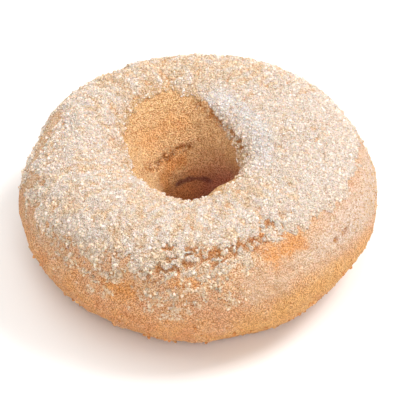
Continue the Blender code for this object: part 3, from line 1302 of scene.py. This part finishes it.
@dataclass
class SugarCoat(Skin):
    """The caked sugar on the crust: lumpy, and ragged where it runs out."""

    name: str = "sugar_coat"
    cell: float = 0.31 * MM
    smoothing: int = 16
    marks: tuple[Mark, ...] = (Mark.SUGAR, Mark.POWDER, Mark.LUMP, Mark.FUNNEL)
    thickness_mm: float = 0.10
    lump_mm: float = 0.95
    middle_lump: float = 0.55
    tuck_mm: float = 0.60
    tucked: Span = (0.15, 0.75)
    least_sugar: float = 0.22
    grain_mm: float = 0.5
    grain_size_mm: float = 0.9

    def sizes(self) -> dict[str, float | int]:
        """The named inputs of its tree, apart from Smoothing."""
        return {"Thickness mm": self.thickness_mm, "Lump mm": self.lump_mm, "Tuck mm": self.tuck_mm}

    def shaped(self, build: ShapeTree, form: Socket, relief: Socket) -> Socket:
        """The form where sugar lies, raised by its lumps, with its edge tucked into the crust."""
        sugar = build.read(Mark.SUGAR)
        bare = build.math("LESS_THAN", sugar, self.least_sugar)
        kept = build.add("GeometryNodeDeleteGeometry", {"Geometry": form, "Selection": bare}, domain="POINT")
        lump = build.less(build.read(Mark.LUMP), self.middle_lump)
        place = build.scaled(build.position, 1.0 / MM)
        grain = build.noise(place, self.grain_size_mm, detail=1.0, seed=6.0)
        edge = build.rest(build.ramp(sugar, *self.tucked))
        height = build.plus(
            relief,
            build.given["Thickness mm"],
            build.times(lump, build.given["Lump mm"]),
            build.times(grain, self.grain_mm),
            build.times(edge, build.given["Tuck mm"], -1.0),
        )
        return build.raised(kept.outputs[0], height)


class GrainShape(Enum):
    """What one grain looks like before it is scaled and turned."""

    CRYSTAL = "crystal"
    LUMP = "lump"


@dataclass
class Strewing:
    """Grains or crumbs strewn on the doughnut: one kind, as one piece."""

    name: str
    shape: GrainShape
    finish: GrainFinish
    lies_on: Mark
    per_cm2: float
    least: float
    most: float
    seed: int
    shares: Span = (0.3, 0.9)
    lift_share: float = 0.3
    lowest_mm: float = 1.5
    kinds: int = 4
    crystal: Point = (1.5, 1.3, 1.1)
    crystal_step: float = 0.2
    dent_scale: float = 1.3
    dent_depth: float = 1.5
    widths: Span = (0.7, 1.3)
    heights: Span = (0.5, 1.0)

    def build(self, bed: bpy.types.Object, shared: SharedEffects) -> bpy.types.Object:
        """Strews the grains.

        Args:
            bed: The piece that they lie on, with its marks.
            shared: The shared shader groups.

        Returns:
            The finished piece.
        """
        rough = bpy.data.objects.new("bed", bed.data.copy())
        bpy.context.scene.collection.objects.link(rough)
        self.tree(self.finish.material(shared)).apply_to(rough)
        return settle(rough, self.name)

    def grain(self, build: ShapeTree, number: int) -> Socket:
        """Adds one grain, about 2 across.

        Args:
            build: The tree.
            number: Which of the grains it is, so that no two are alike.

        Returns:
            The grain as an instance.
        """
        if self.shape is GrainShape.CRYSTAL:
            width, depth, height = self.crystal
            size = (width, depth, height + self.crystal_step * number)
            plain = build.add("GeometryNodeMeshCube", {"Size": size}).outputs[0]
        else:
            plain = build.add("GeometryNodeMeshIcoSphere", {"Radius": 1.0, "Subdivisions": 1}).outputs[0]
        inputs = {"Vector": build.position, "W": 3.0 + number, "Scale": self.dent_scale}
        noise = build.add("ShaderNodeTexNoise", inputs, noise_dimensions="4D").outputs["Color"]
        dents = build.vector("SUBTRACT", noise, (0.5, 0.5, 0.5)).outputs[0]
        moved = {"Geometry": plain, "Offset": build.scaled(dents, self.dent_depth)}
        uneven = build.add("GeometryNodeSetPosition", moved).outputs[0]
        return build.add("GeometryNodeGeometryToInstance", {0: uneven}).outputs[0]

    def tree(self, material: bpy.types.Material) -> ShapeTree:
        """Builds the tree that strews the grains.

        Args:
            material: The grains' material.

        Returns:
            The tree.
        """
        build = ShapeTree(self.name, {
            "Grains per cm2": self.per_cm2,
            "Least radius": self.least,
            "Most radius": self.most,
            "Lift share": self.lift_share,
            "Lowest": self.lowest_mm * MM,
            "Seed": self.seed,
        })
        given = build.given
        _, _, z = build.split(build.position)
        amount = build.ramp(build.read(self.lies_on), *self.shares)
        amount = build.times(amount, build.math("GREATER_THAN", z, given["Lowest"]))
        strewn = build.add("GeometryNodeDistributePointsOnFaces", {
            "Mesh": given["Geometry"],
            "Density": build.times(amount, given["Grains per cm2"], CM2_IN_M2),
            "Seed": given["Seed"],
        }, distribute_method="RANDOM").outputs
        grains = build.add("GeometryNodeJoinGeometry")
        for number in range(self.kinds):
            build.tree.links.new(self.grain(build, number), grains.inputs[0])
        turn = build.scaled(build.joined(build.chance(1), build.chance(2), build.chance(3)), 2.0 * math.pi)
        spread = build.less(given["Most radius"], given["Least radius"])
        larger = build.times(spread, build.math("POWER", build.chance(4), 2.0))
        radius = build.plus(given["Least radius"], larger)
        width = build.between(build.chance(6), *self.widths)
        height = build.between(build.chance(7), *self.heights)
        lift = build.scaled(strewn["Normal"], build.times(radius, given["Lift share"]))
        lifted = build.add("GeometryNodeSetPosition", {"Geometry": strewn["Points"], "Offset": lift})
        placed = build.add("GeometryNodeInstanceOnPoints", {
            "Points": lifted.outputs[0],
            "Instance": grains.outputs[0],
            "Pick Instance": True,
            "Rotation": turn,
            "Scale": build.scaled(build.joined(width, 1.0, height), radius),
        })
        build.end(build.mark(placed.outputs[0], Mark.TONE, build.chance(5), "INSTANCE"), material)
        return build


@dataclass(frozen=True)
class Lamp:
    """A square soft lamp that faces the doughnut."""

    name: str
    place: Point
    side: float
    watts: float
    tint: Colour = (1.0, 1.0, 1.0)

    def build(self) -> None:
        """Makes the lamp."""
        light = bpy.data.lights.new(self.name, "AREA")
        light.shape = "SQUARE"
        light.size = self.side
        light.energy = self.watts
        light.color = self.tint
        stand = bpy.data.objects.new(self.name, light)
        stand.location = self.place
        stand.rotation_euler = (-Vector(self.place)).to_track_quat("-Z", "Y").to_euler()
        bpy.context.scene.collection.objects.link(stand)


@dataclass
class Studio:
    """The floor, the lamps, the sky and the camera."""

    elevation_deg: float = 43.0
    distance: float = 0.5
    lens: float = 187.2
    aim: Point = (0.55 * MM, -1.35 * MM, 14.6 * MM)
    floor_half: float = 2.0
    floor_colour: Colour = (0.94, 0.94, 0.94)
    floor_roughness: float = 0.7
    sky: float = 0.56
    sky_tint: Colour = (1.0, 0.96, 0.91)
    lamps: tuple[Lamp, ...] = (
        Lamp("key", place=(0.46, 0.14, 0.68), side=0.30, watts=4.3),
        Lamp("top", place=(-0.15, 0.05, 0.90), side=0.80, watts=3.2),
        Lamp("front", place=(0.10, -0.62, 0.60), side=0.35, watts=2.1, tint=(1.0, 0.99, 0.98)),
    )

    def build(self) -> None:
        """Makes all of it."""
        self.build_floor()
        for lamp in self.lamps:
            lamp.build()
        world = bpy.data.worlds.new("sky")
        world.use_nodes = True
        sky = world.node_tree.nodes["Background"]
        sky.inputs["Color"].default_value = (*self.sky_tint, 1.0)
        sky.inputs["Strength"].default_value = self.sky
        bpy.context.scene.world = world
        self.build_camera()
        view = bpy.context.scene.view_settings
        view.view_transform = "Standard"
        view.look = "None"

    def build_floor(self) -> None:
        """Makes the pale floor."""
        half = self.floor_half
        mesh = bpy.data.meshes.new("floor")
        corners = [(-half, -half, 0.0), (half, -half, 0.0), (half, half, 0.0), (-half, half, 0.0)]
        mesh.from_pydata(corners, [], [(0, 1, 2, 3)])
        material = bpy.data.materials.new("pale_floor")
        material.use_nodes = True
        surface = material.node_tree.nodes["Principled BSDF"]
        surface.inputs["Base Color"].default_value = (*self.floor_colour, 1.0)
        surface.inputs["Roughness"].default_value = self.floor_roughness
        mesh.materials.append(material)
        floor = bpy.data.objects.new("floor", mesh)
        bpy.context.scene.collection.objects.link(floor)

    def build_camera(self) -> None:
        """Makes the camera at the photograph's viewing angle."""
        lift = math.radians(self.elevation_deg)
        lens = bpy.data.cameras.new("camera")
        lens.lens = self.lens
        camera = bpy.data.objects.new("camera", lens)
        outwards = Vector((0.0, -math.cos(lift), math.sin(lift)))
        camera.location = Vector(self.aim) + outwards * self.distance
        camera.rotation_euler = (math.pi / 2 - lift, 0.0, 0.0)
        bpy.context.scene.collection.objects.link(camera)
        bpy.context.scene.camera = camera


SUGAR_GRAIN = GrainFinish(
    "white_sugar", plain=(0.99, 0.84, 0.69), powdered=(0.99, 0.95, 0.94), shade=(0.84, 0.72, 0.62)
)
CLUMP_SUGAR = GrainFinish(
    "clumped_sugar", plain=(0.98, 0.80, 0.62), powdered=(0.98, 0.90, 0.82), shade=(0.76, 0.64, 0.52)
)
THIN_SUGAR = GrainFinish(
    "thin_sugar", plain=(0.97, 0.68, 0.43), powdered=(0.98, 0.82, 0.66), shade=(0.66, 0.56, 0.46)
)
BROWN_CRUMB = GrainFinish(
    "brown_crumb", plain=(0.74, 0.38, 0.14), powdered=(0.90, 0.70, 0.50), shade=(0.62, 0.50, 0.40)
)
CRUST_FLAKE = GrainFinish(
    "crust_flake", plain=(0.90, 0.50, 0.22), powdered=(0.94, 0.62, 0.34), shade=(0.70, 0.56, 0.44)
)

ON_THE_COAT = (
    Strewing(
        "sugar_lumps", GrainShape.LUMP, SUGAR_GRAIN, Mark.SUGAR,
        per_cm2=150.0, least=0.15 * MM, most=0.50 * MM, seed=23, lift_share=-0.1,
    ),
    Strewing(
        "fine_sugar", GrainShape.CRYSTAL, SUGAR_GRAIN, Mark.SUGAR,
        per_cm2=230.0, least=0.08 * MM, most=0.19 * MM, seed=11,
    ),
)
ON_THE_CRUST = (
    Strewing(
        "loose_clumps", GrainShape.LUMP, CLUMP_SUGAR, Mark.CLUMPED,
        per_cm2=650.0, least=0.10 * MM, most=0.45 * MM, seed=53, shares=(0.1, 1.0), lift_share=0.0,
    ),
    Strewing(
        "dusted_sugar", GrainShape.CRYSTAL, THIN_SUGAR, Mark.VEIL,
        per_cm2=320.0, least=0.08 * MM, most=0.22 * MM, seed=31, shares=(0.1, 1.0),
    ),
    Strewing(
        "crust_flakes", GrainShape.LUMP, CRUST_FLAKE, Mark.FLAKY,
        per_cm2=9.0, least=0.20 * MM, most=0.60 * MM, seed=67, shares=(0.1, 0.9), lift_share=0.2,
    ),
    Strewing(
        "crust_crumbs", GrainShape.LUMP, BROWN_CRUMB, Mark.DARK,
        per_cm2=260.0, least=0.12 * MM, most=0.38 * MM, seed=41, shares=(0.2, 0.8),
    ),
)


def main() -> None:
    """Builds the doughnut's pieces in order and reports each one."""
    logging.basicConfig(level=logging.INFO, format="%(name)s: %(message)s")
    shared = SharedEffects(fine_mottling(), specks())
    rule = SurfaceRule().group()
    crust = Crust().build(rule, CrustFinish().material(shared))
    coat = SugarCoat().build(rule, SugarFinish().material(shared))
    pieces = [crust, coat]
    for bed, strewings in ((coat, ON_THE_COAT), (crust, ON_THE_CRUST)):
        pieces += [strewing.build(bed, shared) for strewing in strewings]
    for piece in pieces:
        log.info("%s: %d faces", piece.name, len(piece.data.polygons))
    Studio().build()


if __name__ == "__main__":
    main()
